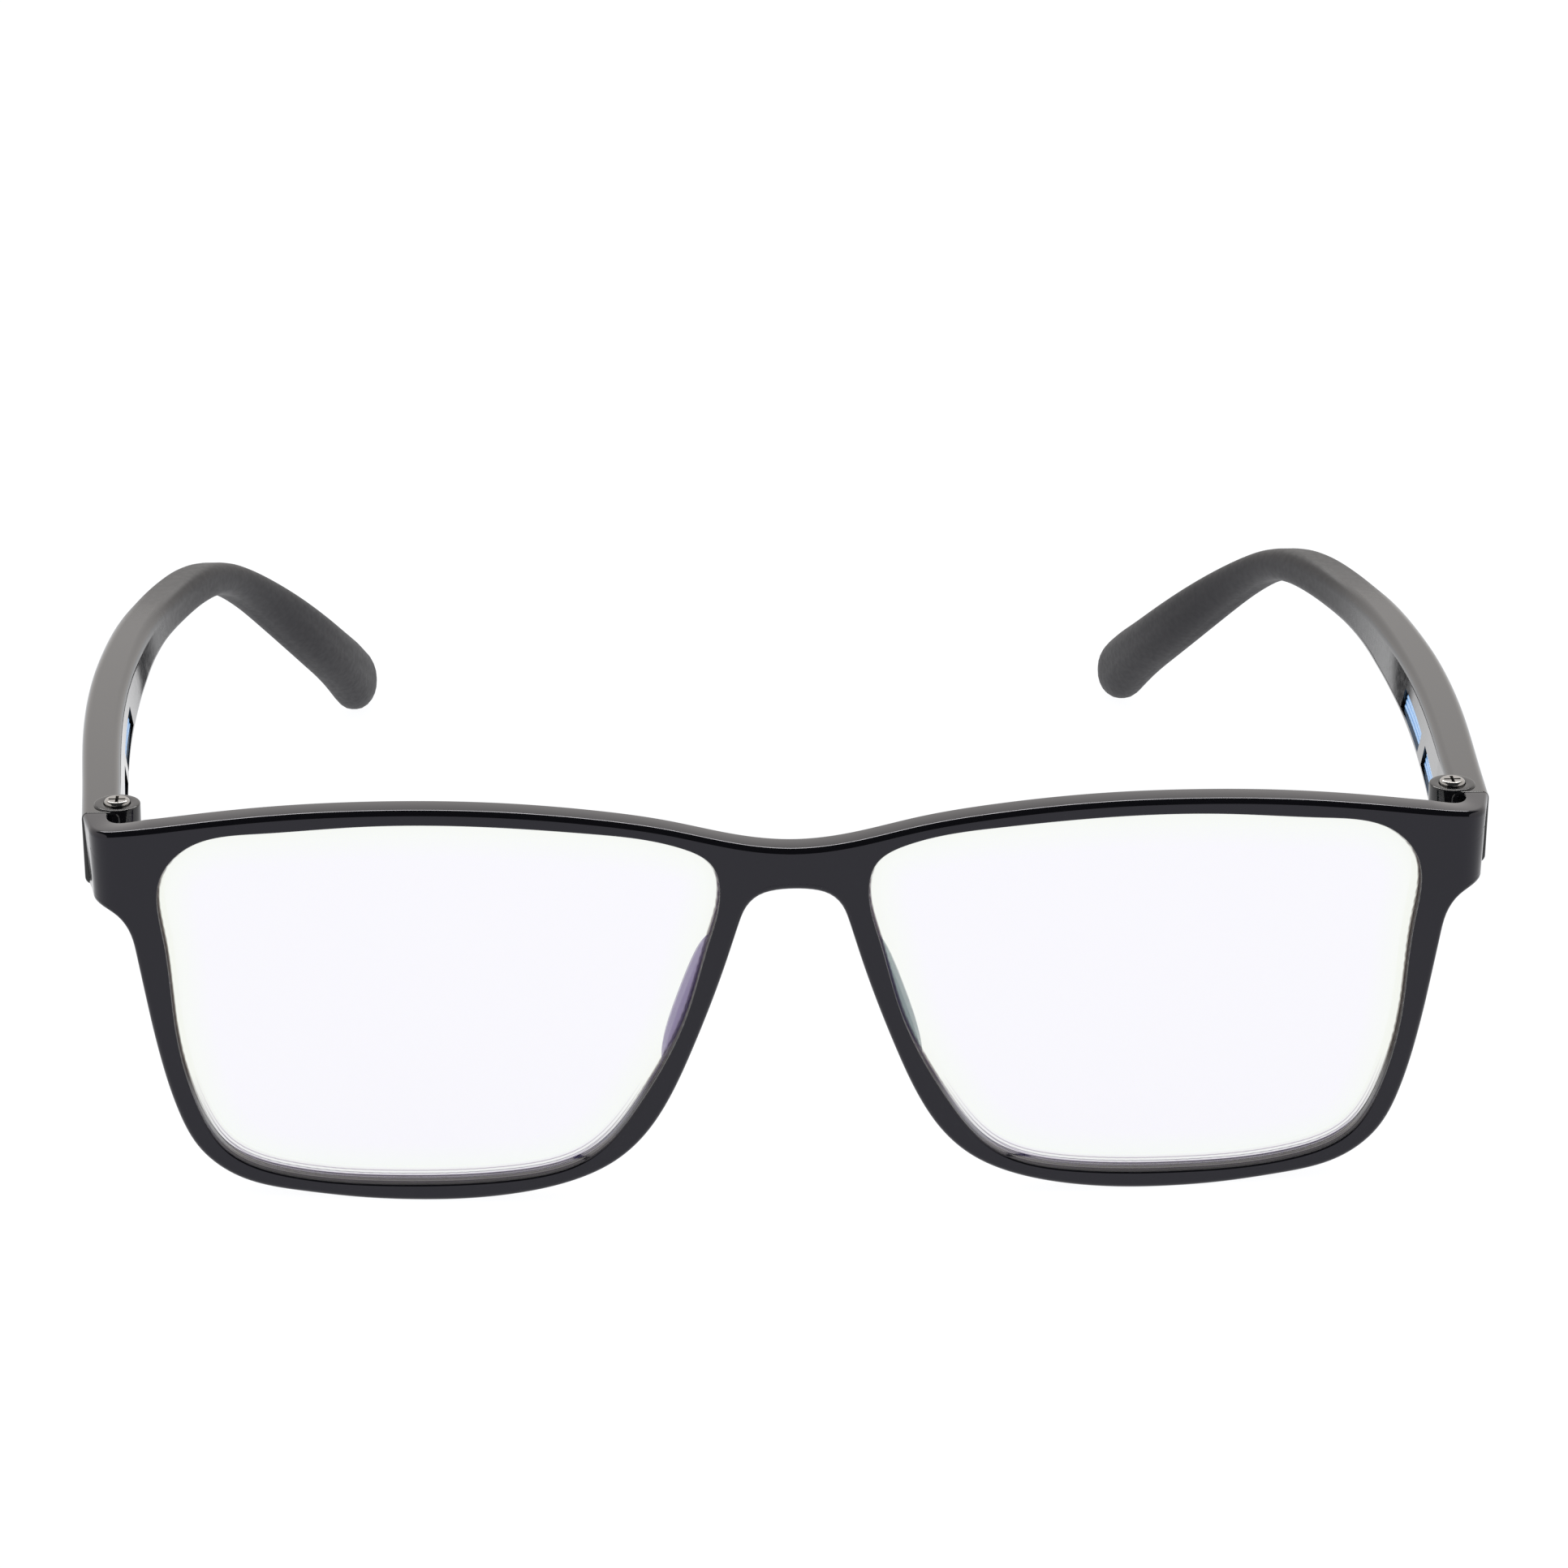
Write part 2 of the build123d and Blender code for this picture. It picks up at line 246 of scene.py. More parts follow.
def plan_line(radius, swing, center, corner, side_x, leave=math.pi / 2):
    """Plan of one side of the plate: an arc about the head, a corner arc that turns from swing
    to leave, and a straight side."""
    turn = np.linspace(0, swing, 700)
    face = np.stack([radius * np.sin(turn), FACE_RADIUS - radius * np.cos(turn)], 1)
    turn = np.linspace(swing, leave, 90)[1:]
    bend = np.stack([center[0] + corner * np.sin(turn), center[1] - corner * np.cos(turn)], 1)
    return np.vstack([face, bend, [[side_x, JOINT_DEPTH]]])


outer_plan = plan_line(
    FACE_RADIUS, corner_start, (corner_x, corner_depth), CORNER, SIDE_X, corner_end
)
inner_plan = plan_line(
    inner_radius, inner_corner_start, (inner_corner_x, inner_corner_depth), INNER_CORNER, inner_x
)
outer_walk, inner_walk = walked(outer_plan), walked(inner_plan)
S_END = outer_walk[-1]
print("half the front is", round(S_END, 2), "mm along its outer face")

# Where the lines through the wall start to turn from straight back to sideways.
TURN_X = 64.6
s_turn = np.interp(TURN_X, outer_plan[:700, 0], outer_walk[:700])
i_turn = np.interp(TURN_X, inner_plan[:700, 0], inner_walk[:700])


def bent(s, z, w):
    """Plate to place: s along the outer face, z up, w from 0 at the outer face to 1 at the inner.
    A line through the wall runs straight back as far as TURN_X, and beyond it joins points that
    lie the same share of the way along the two faces."""
    outer = np.stack([np.interp(s, outer_walk, outer_plan[:, c]) for c in (0, 1)], -1)
    share = np.where(s < s_turn, 0, (s - s_turn) / (S_END - s_turn))
    i = i_turn + share * (inner_walk[-1] - i_turn)
    inner = np.stack([np.interp(i, inner_walk, inner_plan[:, c]) for c in (0, 1)], -1)
    x = outer[..., 0]
    arc = FACE_RADIUS - np.sqrt(inner_radius**2 - x**2)
    inner = np.where((s < s_turn)[..., None], np.stack([x, arc], -1), inner)
    plan = outer + (inner - outer) * w[..., None]
    below = np.clip(END_TOP - z, 0, DRAFT_CLIP) / DRAFT_HEIGHT
    lean = np.interp(s, [LEAN_START, S_END - 2], [0, 1]) * below
    return np.stack([plan[..., 0] - OUTER_DRAFT * lean * (1 - w), plan[..., 1], z], -1)


def to_s(path):
    """An outline given in x and z as distance along the outer face and z."""
    s = np.interp(path[:, 0], outer_plan[:, 0], outer_walk)
    return np.stack([s, path[:, 1]], 1)


top = flowing(
    [(0, 38.6), (6, 39.25), (12.4, 40.7), (20, 41.85), (30, 42.6), (40, 42.6), (50, 41.95),
     (60, 40.6), (66, 39.65), (72, 39.0)], start=(1, 0), end=(1, -0.12))
top = top[top[:, 0] <= SIDE_X]
top = np.vstack([to_s(top), [[S_END, END_TOP]]])
under = flowing(
    [(69.9, END_BOTTOM), (68.2, 30.6), (66.75, 29.0), (65.95, 26.2), (64.9, 20.3), (63.8, 14.7),
     (62.25, 9.1), (60.25, 5.1), (56.4, 2.1), (49.8, 0.65), (44.3, 0.15), (38.8, 0.0), (33.3, 0.2),
     (27.8, 0.9), (22.3, 2.35), (18.1, 4.5), (15.0, 7.5), (13.0, 10.6), (10.3, 16.6), (7.95, 22.9),
     (6.6, 27.0), (5.5, 30.6), (4.75, 32.4), (3.6, 33.55), (2.0, 34.1), (0, 34.25)], end=(-1, 0))
under = np.vstack([[[S_END, END_BOTTOM]], to_s(under)])
under[:, 1] = np.maximum(under[:, 1], 0)
window = flowing(
    [(7.45, 34.0), (8.2, 36.9), (11.4, 38.85), (20.0, 40.35), (31.0, 41.05), (43.0, 40.85),
     (53.0, 39.85), (60.3, 38.05), (63.15, 34.6), (63.0, 27.5), (62.2, 18.2), (60.4, 10.2),
     (57.2, 4.85), (51.0, 2.45), (40.0, 1.8), (29.0, 2.45), (20.8, 4.9), (15.3, 11.4),
     (11.0, 20.0), (8.6, 28.4)], closed=True, count=4001)[:-1]

# %% The moulded plate
# Radii of the rounded edges. REST is the narrow flat kept beside each one, so that the shading of
# the flat faces stays flat.
EDGE, REAR_EDGE, WINDOW_EDGE, WINDOW_REAR_EDGE, HINGE_EDGE, REST = 0.6, 0.4, 0.22, 0.3, 0.2, 0.1


def rim_loop(spacing):
    """The outline that the section is carried to, its inward normals and its edge radius: the
    top, the joint face, the underside with the arch, and the middle of the bridge."""
    a, c = spaced(top, spacing), spaced(under, spacing)
    na, nc = inward(a), inward(c)
    na[0], na[-1] = (0, -1), (0, -1)
    nc[0], nc[-1] = (0, 1), (0, 1)
    low, high = END_BOTTOM + EDGE + REST, END_TOP - EDGE - REST
    z = np.linspace(high, low, 12)
    b = np.stack([np.full_like(z, S_END), z], 1)
    z = np.linspace(under[-1, 1] + EDGE + REST, top[0, 1] - EDGE - REST, 5)
    d = np.stack([np.zeros_like(z), z], 1)
    loop = np.vstack([a, b, c, d])
    normal = np.vstack([na, np.tile((-1.0, 0.0), (12, 1)), nc, np.tile((1.0, 0.0), (5, 1))])
    grow = np.concatenate(
        [np.ones(len(a)), np.full(12, HINGE_EDGE / EDGE), np.ones(len(c)), np.zeros(5)]
    )
    return loop, normal, grow


def paired(loop, ring, spread=13):
    """Places on the window for the points of the outline: the nearest one, then a running mean
    of the distance walked round the window, so that the lines between them fan out evenly."""
    way = walked(np.vstack([ring, ring[:1]]))
    near = np.argmin(((loop[:, None, :] - ring[None, :, :]) ** 2).sum(-1), axis=1)
    at = np.unwrap(way[near] / way[-1] * 2 * math.pi)
    turns = 2 * math.pi * np.sign(at[-1] - at[0])
    wide = np.concatenate([at[-spread:] - turns, at, at[:spread] + turns])
    at = np.convolve(wide, np.ones(2 * spread + 1) / (2 * spread + 1), mode="valid")
    at = (at / (2 * math.pi) % 1) * way[-1]
    around = np.vstack([ring, ring[:1]])
    points = np.stack([np.interp(at, way, around[:, c]) for c in (0, 1)], 1)
    slope = np.gradient(around[:-1], axis=0)
    slope[0] = around[1] - around[-2]
    slope[-1] = around[0] - around[-3]
    slope /= np.linalg.norm(slope, axis=1)[:, None]
    out = np.stack([-slope[:, 1], slope[:, 0]], 1)
    n = np.stack([np.interp(at, way[:-1], out[:, c]) for c in (0, 1)], 1)
    return points, n / np.linalg.norm(n, axis=1)[:, None]


def half_front(spacing=0.6, across=22):
    """A closed section carried round the window. Its corners are quarter circles: an inset of
    r - r sin(angle) at a depth of r - r cos(angle)."""
    loop, normal, grow = rim_loop(spacing)
    hole, hole_out = paired(loop, to_s(window))
    sin, cos = quarter(7)
    ones = np.ones(len(loop))

    def outer_band(inset, depth):
        g = grow[:, None]
        p = loop[:, None, :] + normal[:, None, :] * (g * inset)[..., None]
        return p, depth[0] + g * depth[1]

    def hole_band(inset, depth):
        p = hole[:, None, :] + hole_out[:, None, :] * (ones[:, None] * inset)[..., None]
        return p, ones[:, None] * depth

    lead = np.concatenate([[EDGE + REST], EDGE - EDGE * sin])
    lead_w = np.concatenate([[0], EDGE - EDGE * cos])
    tail = np.concatenate([REAR_EDGE - REAR_EDGE * sin[::-1], [REAR_EDGE + REST]])
    tail_w = np.concatenate([-(REAR_EDGE - REAR_EDGE * cos[::-1]), [0]])
    ps1, ws1 = outer_band(lead, (0, lead_w))
    ps2, ws2 = outer_band(tail, (RIM_DEPTH, tail_w))
    back = np.concatenate([[WINDOW_REAR_EDGE + REST], WINDOW_REAR_EDGE - WINDOW_REAR_EDGE * sin])
    back_w = RIM_DEPTH - np.concatenate([[0], WINDOW_REAR_EDGE - WINDOW_REAR_EDGE * cos])
    fore = np.concatenate([WINDOW_EDGE - WINDOW_EDGE * sin[::-1], [WINDOW_EDGE + REST]])
    fore_w = np.concatenate([WINDOW_EDGE - WINDOW_EDGE * cos[::-1], [0]])
    ps3, ws3 = hole_band(back, back_w)
    ps4, ws4 = hole_band(fore, fore_w)
    t = np.linspace(0, 1, across)[1:-1][None, :, None]
    rear = ps2[:, -1:, :] * (1 - t) + ps3[:, :1, :] * t
    face = ps4[:, -1:, :] * (1 - t) + ps1[:, :1, :] * t
    flat = np.concatenate([ps1, ps2, rear, ps3, ps4, face], axis=1)
    still = np.ones(rear.shape[:2])
    w = np.concatenate([ws1, ws2, still * RIM_DEPTH, ws3, ws4, still * 0], axis=1) / RIM_DEPTH
    return bent(flat[..., 0], flat[..., 1], w)


half = half_front()
print("section points:", half.shape[1], "places round the window:", half.shape[0])

# %% [markdown]
# The middle knuckle of each hinge is moulded with the front. It is a short barrel with a web
# that ties it to the end of the side wall. A plan outline raised between two heights, with a
# small rounding, does it.

# %% Knuckle and web
HINGE = np.array([67.8, 14.0])
KNUCKLE, GAP = 2.35, 0.08
LOW_TOP, HIGH_BOTTOM, HIGH_TOP = 34.1, 36.5, 39.2


def raised(outline, low, high, edge=0.1):
    """A closed plan outline raised from low to high, its first and last rings drawn in."""
    slope = np.roll(outline, -1, axis=0) - np.roll(outline, 1, axis=0)
    slope /= np.linalg.norm(slope, axis=1)[:, None]
    out = np.stack([slope[:, 1], -slope[:, 0]], 1)
    sin, cos = quarter(4)
    inset = np.concatenate([edge - edge * sin, edge - edge * sin[::-1]])
    z = np.concatenate([low + edge - edge * cos, high - edge + edge * cos[::-1]])
    ring = outline[None, :, :] - out[None, :, :] * inset[:, None, None]
    heights = np.broadcast_to(z[:, None, None], ring.shape[:2] + (1,))
    return shell(np.concatenate([ring, heights], -1))


turn = np.linspace(0, 1.5 * math.pi, 48)
barrel = HINGE + KNUCKLE * np.stack([np.cos(turn), np.sin(turn)], 1)
WEB_FRONT = 10.6
web = np.vstack([barrel, [[HINGE[0], WEB_FRONT]], [[HINGE[0] + KNUCKLE, WEB_FRONT]]])
middle_knuckle = raised(web, LOW_TOP + GAP, HIGH_BOTTOM - GAP)

front = piece(
    "front_moulding",
    [
        shell(half, rows_close=True, columns_close=True),
        shell(half * [-1, 1, 1], rows_close=True, columns_close=True),
        middle_knuckle,
        (middle_knuckle[0] * [-1, 1, 1], middle_knuckle[1]),
    ],
    drop_middle=True,
)
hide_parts("front_frame")
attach(front, "front")

# %% [markdown]
# ## The lenses
#
# A plano lens is a curved sheet of even thickness with a small bevel round its edge, held in a
# groove of the rim. A disc of rings from the middle to the edge follows the outline exactly, and
# the bevel and edge are just its last rings, which then come back over the rear face. Each vertex
# keeps its distance from the wall of the opening, in millimetres, for the lens finish.

# %% Lens blanks
LENS_SETBACK, LENS_THICK, SEAT, BEVEL = 0.9, 1.8, 0.5, 0.45


def lens_grid(rings=24, spacing=0.5):
    """Rings of the window's outline grown by its seat, shrunk towards the middle: a place is
    the middle plus a share of the way to the edge, on an arc set back from the front's face."""
    ring = spaced(np.vstack([window, window[:1]]), spacing)[:-1]
    slope = np.roll(ring, -1, axis=0) - np.roll(ring, 1, axis=0)
    slope /= np.linalg.norm(slope, axis=1)[:, None]
    edge = ring + SEAT * np.stack([-slope[:, 1], slope[:, 0]], 1)
    rim = edge - BEVEL * np.stack([-slope[:, 1], slope[:, 0]], 1)
    middle = edge.mean(0)
    share = 1 - (1 - np.sqrt(np.linspace(0, 1, rings))) ** 1.25
    disc = middle + (rim - middle)[None] * share[:, None, None]
    xz = np.concatenate([disc, edge[None], edge[None], disc[::-1]])
    lag = np.concatenate([
        np.full(rings, LENS_SETBACK), [LENS_SETBACK + BEVEL],
        [LENS_SETBACK + LENS_THICK - BEVEL], np.full(rings, LENS_SETBACK + LENS_THICK)])
    radius = (FACE_RADIUS - lag)[:, None]
    depth = FACE_RADIUS - np.sqrt(radius**2 - xz[..., 0] ** 2)
    return np.stack([xz[..., 0], depth, xz[..., 1]], -1)


lens_points = lens_grid()
lenses = {}
for side, flip in (("left", False), ("right", True)):
    lens = piece("lens_blank_" + side, [shell(lens_points, caps=False)], sharp=30, mirrored=flip)
    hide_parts("lens_" + side)
    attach(lens, "front")
    place = np.empty(len(lens.data.vertices) * 3)
    lens.data.vertices.foreach_get("co", place)
    place = place.reshape(-1, 3) / MM
    way = np.abs(place[:, [0, 2]])[:, None] - window[None, ::8]
    from_wall = np.sqrt((way**2).sum(-1)).min(axis=1).astype(np.float32)
    lens.data.attributes.new("from_wall", "FLOAT", "POINT").data.foreach_set("value", from_wall)
    lenses[side] = lens

# %% [markdown]
# ## The nose pads
#
# Each pad is a soft-edged fin that grows out of the back of the rim and leans away from the
# nose. It is a stadium-shaped section whose length, width and place change with depth.

# %% Pad fins
PAD_LEAN, PAD_X, PAD_Z, PAD_POWER = math.radians(19.5), 9.9, 20.6, 2.6


def pad_grid(rows=26, columns=64):
    """Sections of a pad: an oval of power PAD_POWER, of a given length and width, that runs along
    the leaning axis. A shift carries it away from the nose as it goes back."""
    t = np.linspace(0, 1, rows)
    depth = 2.9 + 4.15 * np.sin(t * math.pi / 2)
    knots = flowing([(2.9, 16.4), (4.4, 15.8), (6.2, 13.2), (7.05, 9.0)], count=400)
    length = np.interp(depth, knots[:, 0], knots[:, 1])
    width = np.interp(depth, [2.9, 4.2, 5.6, 6.5, 7.05], [1.5, 2.2, 2.0, 1.5, 0.25])
    flare = np.interp(depth, [2.9, 4.4, 6.2, 7.2], [0, 0.3, 0.8, 1.1])
    turn = np.linspace(0, 2 * math.pi, columns, endpoint=False)
    reach = np.abs(np.cos(turn)) ** PAD_POWER + np.abs(np.sin(turn)) ** PAD_POWER
    reach = reach ** (-1 / PAD_POWER)
    along = length[:, None] / 2 * reach * np.cos(turn)
    aside = width[:, None] / 2 * reach * np.sin(turn) + flare[:, None]
    x = PAD_X + along * -math.sin(PAD_LEAN) + aside * math.cos(PAD_LEAN)
    z = PAD_Z + along * math.cos(PAD_LEAN) + aside * math.sin(PAD_LEAN)
    return np.stack([x, np.broadcast_to(depth[:, None], x.shape), z], -1)


pads = {}
for side, flip in (("left", False), ("right", True)):
    pad = piece("nose_fin_" + side, [shell(pad_grid())], mirrored=flip)
    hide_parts("nose_pad_" + side)
    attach(pad, "front")
    pads[side] = pad

# %% [markdown]
# ## The temples
#
# A temple is one flat bar. Seen from above it leaves the hinge almost straight and then curls in
# behind the ear. Seen from the side it tapers, drops over the ear and ends in a rounded paddle.
# A section is carried back along the bar. It leans: its lower edge is further in than its upper
# one. Its inner side has one recess, whose height and depth change on the way: first the slot of
# the hinge, and then the two windows of the inlays.

# %% Plan and side of a temple
bar = flowing(
    [(69.2, 9.4), (69.85, 20), (71.0, 38), (71.4, 54), (70.8, 70), (68.85, 85), (65.2, 97),
     (60.1, 109), (54.7, 120), (50.2, 132), (46.6, 149)])
bar_side = inward(bar)
half_bar = np.interp(bar[:, 1], [9, 38, 54, 85, 97, 109], [1.9, 2.05, 2.1, 2.2, 2.3, 2.35])
half_bar = half_bar[:, None]
outer_bar, inner_bar = bar + bar_side * half_bar, bar - bar_side * half_bar
TIP = 147.4
BAR_START = JOINT_DEPTH + GAP

over = flowing([(84, 35.12), (92, 35.0), (99, 34.6), (104.5, 33.1), (111, 29.6), (118, 24.8),
                (126, 19.1), (134, 13.7), (140, 10.0)], start=(1, -0.0548), end=(0.84, -0.543))
tip_end = flowing([(140, 10.0), (144.4, 7.1), (TIP - 0.7, 4.9), (TIP - 0.2, 3.0), (TIP - 0.9, 1.1),
                   (144.2, 0)], start=(0.84, -0.543), end=(-0.97, 0.2))
furthest = int(np.argmax(tip_end[:, 0]))
tip_depth = tip_end[furthest, 0]
upper = np.vstack([[[BAR_START, END_TOP]], over, tip_end[: furthest + 1]])
crook = flowing([(144.2, 0), (141.6, 0.6), (138.4, 2.55), (134, 6.0), (126, 12.2), (117, 20.0),
                 (110, 26.0), (105, 29.0), (99, 30.4), (92, 30.75), (84, 30.83)],
                start=(-0.97, 0.2))
lower = np.vstack([tip_end[furthest:], crook, [[BAR_START, END_BOTTOM]]])[::-1]
upper[:, 1], lower[:, 1] = np.maximum(upper[:, 1], 0), np.maximum(lower[:, 1], 0)
print("the tip ends at depth", round(tip_depth, 2), "mm")


def draft(depth, z, amount):
    """How far a face leans in: in step with the distance below the top line, less at the hinge
    and fading out towards the ear."""
    below = np.interp(depth, upper[:, 0], upper[:, 1]) - z
    along = np.interp(depth, [17, 24, 70, 100], [0.3, 1, 1, 0])
    return amount * np.clip(below, 0, DRAFT_CLIP) / DRAFT_HEIGHT * along


WINDOW_Z, WINDOW_HALF, SLANT, POCKET = 33.4, 1.3, 1.2, 0.8
windows = [(21.0, 37.2), (39.6, 54.6)]
BEHIND_WINDOWS = 60
SLOT_RADIUS = KNUCKLE + GAP
slot_back = HINGE[1] + math.sqrt(SLOT_RADIUS**2 - 0.5**2)
# The softened edge at the joint: depths, and how far the section is drawn in at each.
EASE_DEPTHS, EASE_INSET = [11.48, 11.53, 11.62, 11.75], [0.22, 0.1, 0.03, 0]


def stations():
    """Depths of the sections. The edges of the recesses come twice, once on each side."""
    step = 0.02
    edges = [slot_back]
    for a, b in windows:
        edges += [a + SLANT / 2, b - SLANT / 2]
    doubled = np.array([e + d for e in edges for d in (-step / 2, step / 2)])
    run = np.concatenate([
        EASE_DEPTHS, np.linspace(11.9, 18.5, 20), np.linspace(19.2, 58, 60),
        np.linspace(59, 138, 110),
        138 + (tip_depth - 138) * np.sin(np.linspace(0.02, math.pi / 2, 46))])
    run = run[np.min(np.abs(run[:, None] - doubled[None]), axis=1) > 0.06]
    return np.sort(np.concatenate([run, doubled]))


def temple_grid(edge_count=7):
    """A section for each depth: a rounded rectangle between the inner and outer faces and the
    lower and upper lines. Points of the recess are sunk from the inner face, and those of a
    window lean forwards with height, which slants its ends. Towards the tip the rounded corners
    become taller than they are wide."""
    d = stations()
    from_tip = np.maximum(tip_depth - d, 0)
    radius = np.interp(d, [11.5, 60, 90, 105, 125], [0.75, 0.8, 1.3, 1.9, 2.15])
    round_tip, nose_length = 2.1, 4.4
    share = np.clip(1 - from_tip / nose_length, 0, 1)
    narrow = round_tip * (1 - np.sqrt(1 - share**2))
    draw_in = np.interp(d, EASE_DEPTHS, EASE_INSET)
    zt = np.interp(d, upper[:, 0], upper[:, 1]) - draw_in
    zb = np.interp(d, lower[:, 0], lower[:, 1]) + draw_in
    half_width = np.interp(d, bar[:, 1], half_bar[:, 0])
    radius = np.minimum(radius, np.minimum((zt - zb) * 0.48, half_width - narrow - REST - 0.03))
    in_slot = d < slot_back
    in_window = np.zeros_like(in_slot)
    for a, b in windows:
        in_window |= (d > a + SLANT / 2) & (d < b - SLANT / 2)
    sink = np.where(in_window, POCKET, 0.0)
    ahead = np.sqrt(np.maximum(SLOT_RADIUS**2 - np.maximum(d - HINGE[1], 0) ** 2, 0)) + 0.42
    sink = np.where(in_slot, ahead, sink)
    high = np.interp(d, [slot_back, 18.6], [HIGH_BOTTOM, WINDOW_Z + WINDOW_HALF])
    low = np.interp(d, [slot_back, 18.6], [LOW_TOP, WINDOW_Z - WINDOW_HALF])
    later = d > BEHIND_WINDOWS
    high = np.where(later, zb + (zt - zb) * 0.503, high)
    low = np.where(later, zb + (zt - zb) * 0.497, low)
    lean = np.interp(d, [18.8, 20.2, 56.2, 58.5], [0, 1, 1, 0])
    sin, cos = quarter(edge_count)
    r = radius[:, None]
    n = narrow[:, None] + draw_in[:, None]
    tall = np.minimum(radius * np.interp(d, [100, 128, 140], [1, 1.25, 1.6]), (zt - zb) * 0.48)
    rise = tall[:, None]
    rest = np.minimum(REST, (zt - zb - 2 * tall) * 0.3)[:, None].clip(0)
    one = np.ones((len(d), 1))
    # Each column is a face, the distance in from it, and a height. The face is a for outer, b for
    # inner, and r for the recess, which is sunk from the inner face.
    columns = []
    columns.append(("a", n + r - r * sin, zb[:, None] + rise - rise * cos))
    columns.append(("a", n, zb[:, None] + rise + rest))
    columns.append(("a", n, (zb[:, None] + zt[:, None]) / 2))
    columns.append(("a", n, zt[:, None] - rise - rest))
    columns.append(("a", n + r - r * sin[::-1], zt[:, None] - rise + rise * cos[::-1]))
    columns.append(("a", n + r + REST, zt[:, None]))
    columns.append(("b", n + r + REST, zt[:, None]))
    columns.append(("b", n + r - r * sin, zt[:, None] - rise + rise * cos))
    columns.append(("b", n, zt[:, None] - rise - rest))
    for level, shares in ((high, (0, 0, 1, 1)), ((high + low) / 2, (1,)), (low, (1, 1, 0, 0))):
        for share in shares:
            columns.append(("r", n + share * sink[:, None], level[:, None]))
    columns.append(("b", n, zb[:, None] + rise + rest))
    columns.append(("b", n + r - r * sin[::-1], zb[:, None] + rise - rise * cos[::-1]))
    columns.append(("b", n + r + REST, zb[:, None]))
    columns.append(("a", n + r + REST, zb[:, None]))
    blocks = []
    for kind, inset, z in columns:
        inset, z = np.broadcast_arrays(inset * one, z * one)
        depth = np.broadcast_to(d[:, None], z.shape)
        if kind == "r":
            slant = np.where(later, 0, lean)[:, None] * SLANT
            depth = depth - slant * (z - WINDOW_Z) / (2 * WINDOW_HALF)
        outer_x = np.interp(depth, outer_bar[:, 1], outer_bar[:, 0]) - draft(depth, z, OUTER_DRAFT)
        inner_x = np.interp(depth, inner_bar[:, 1], inner_bar[:, 0]) - draft(depth, z, INNER_DRAFT)
        x = outer_x - inset if kind == "a" else inner_x + inset
        blocks.append(np.stack([x, depth, z], -1))
    return np.concatenate(blocks, axis=1)


# %% [markdown]
# The outer knuckles of the hinge are barrels on the same axis as the front's. The upper one has
# a round seat for the screw's head, so its shape is a turned profile.

# %% Turned knuckles and a whole temple
def turned(profile, center, count=64):
    """A profile of (radius, height) swept once round an upright axis."""
    p = np.array(profile, float)
    angle = np.linspace(0, 2 * math.pi, count, endpoint=False)
    x = center[0] + p[:, :1] * np.cos(angle)
    y = center[1] + p[:, :1] * np.sin(angle)
    return shell(np.stack([x, y, np.broadcast_to(p[:, 1:], x.shape)], -1), caps=False)


def soft_disc(radius, low, high, seat=None, edge=0.16):
    """Profile of a barrel with rounded edges, and with a seat of (radius, floor) in its top."""
    sin, cos = quarter(5)
    lower_edge = np.stack([radius - edge + edge * sin, low + edge - edge * cos], 1)
    upper_edge = np.stack([radius - edge + edge * cos, high - edge + edge * sin], 1)
    profile = [[[0, low]], lower_edge, upper_edge]
    if seat is None:
        profile.append([[0, high]])
    else:
        hole, floor = seat
        mouth = np.stack([hole + 0.12 - 0.12 * sin, high - 0.12 + 0.12 * cos], 1)
        profile += [mouth, [[hole, floor], [0, floor]]]
    return np.vstack(profile)


SCREW_SEAT, SEAT_FLOOR = 1.36, 38.66
temple_points = temple_grid()
temple_shells = [
    shell(temple_points),
    turned(soft_disc(KNUCKLE, END_BOTTOM + 0.02, LOW_TOP), HINGE),
    turned(soft_disc(KNUCKLE, HIGH_BOTTOM, HIGH_TOP, seat=(SCREW_SEAT, SEAT_FLOOR)), HINGE),
]
temples = {}
for side, flip in (("left", False), ("right", True)):
    temple = piece("temple_bar_" + side, temple_shells, mirrored=flip)
    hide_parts("temple_" + side)
    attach(temple, "temple_" + side)
    temples[side] = temple

# %% [markdown]
# ## The inlays
#
# Each inlay is a thin strip of blue plastic at the bottom of its window, with fine ribs that run
# along the temple. Its section is a wave on top of a flat back, and the strip leans like its
# window.

# %% Ribbed strips
INLAY, END_GAP, RIBS = 0.5, 0.5, 4


def inlay_grid(a, b, rows=90):
    """A strip from depth a to b. Its face is raised by a small cosine of the height, so that
    each rib is one wave, and a little margin is left plain above and below."""
    d = np.linspace(a + SLANT / 2 + END_GAP, b - SLANT / 2 - END_GAP, rows)
    v = np.linspace(-1, 1, 49)
    z = WINDOW_Z + v * (WINDOW_HALF - 0.02)
    wave = 0.07 * (1 - np.cos(math.pi * RIBS * (v + 1))) / 2
    face = POCKET - INLAY + 0.07 - wave
    z = np.concatenate([z, z[::-1]])
    sink = np.concatenate([face, np.full(49, POCKET - 0.005)])
    depth = d[:, None] - SLANT * (z - WINDOW_Z) / (2 * WINDOW_HALF)
    x = np.interp(depth, inner_bar[:, 1], inner_bar[:, 0]) + sink - draft(depth, z, INNER_DRAFT)
    return np.stack([x, depth, np.broadcast_to(z, x.shape)], -1)


inlays = []
for side, flip in (("left", False), ("right", True)):
    for place, (a, b) in zip(("front", "rear"), windows):
        strip = piece(f"inlay_strip_{place}_{side}", [shell(inlay_grid(a, b))], mirrored=flip)
        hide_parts(f"inlay_{place}_{side}")
        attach(strip, "temple_" + side)
        inlays.append(strip)

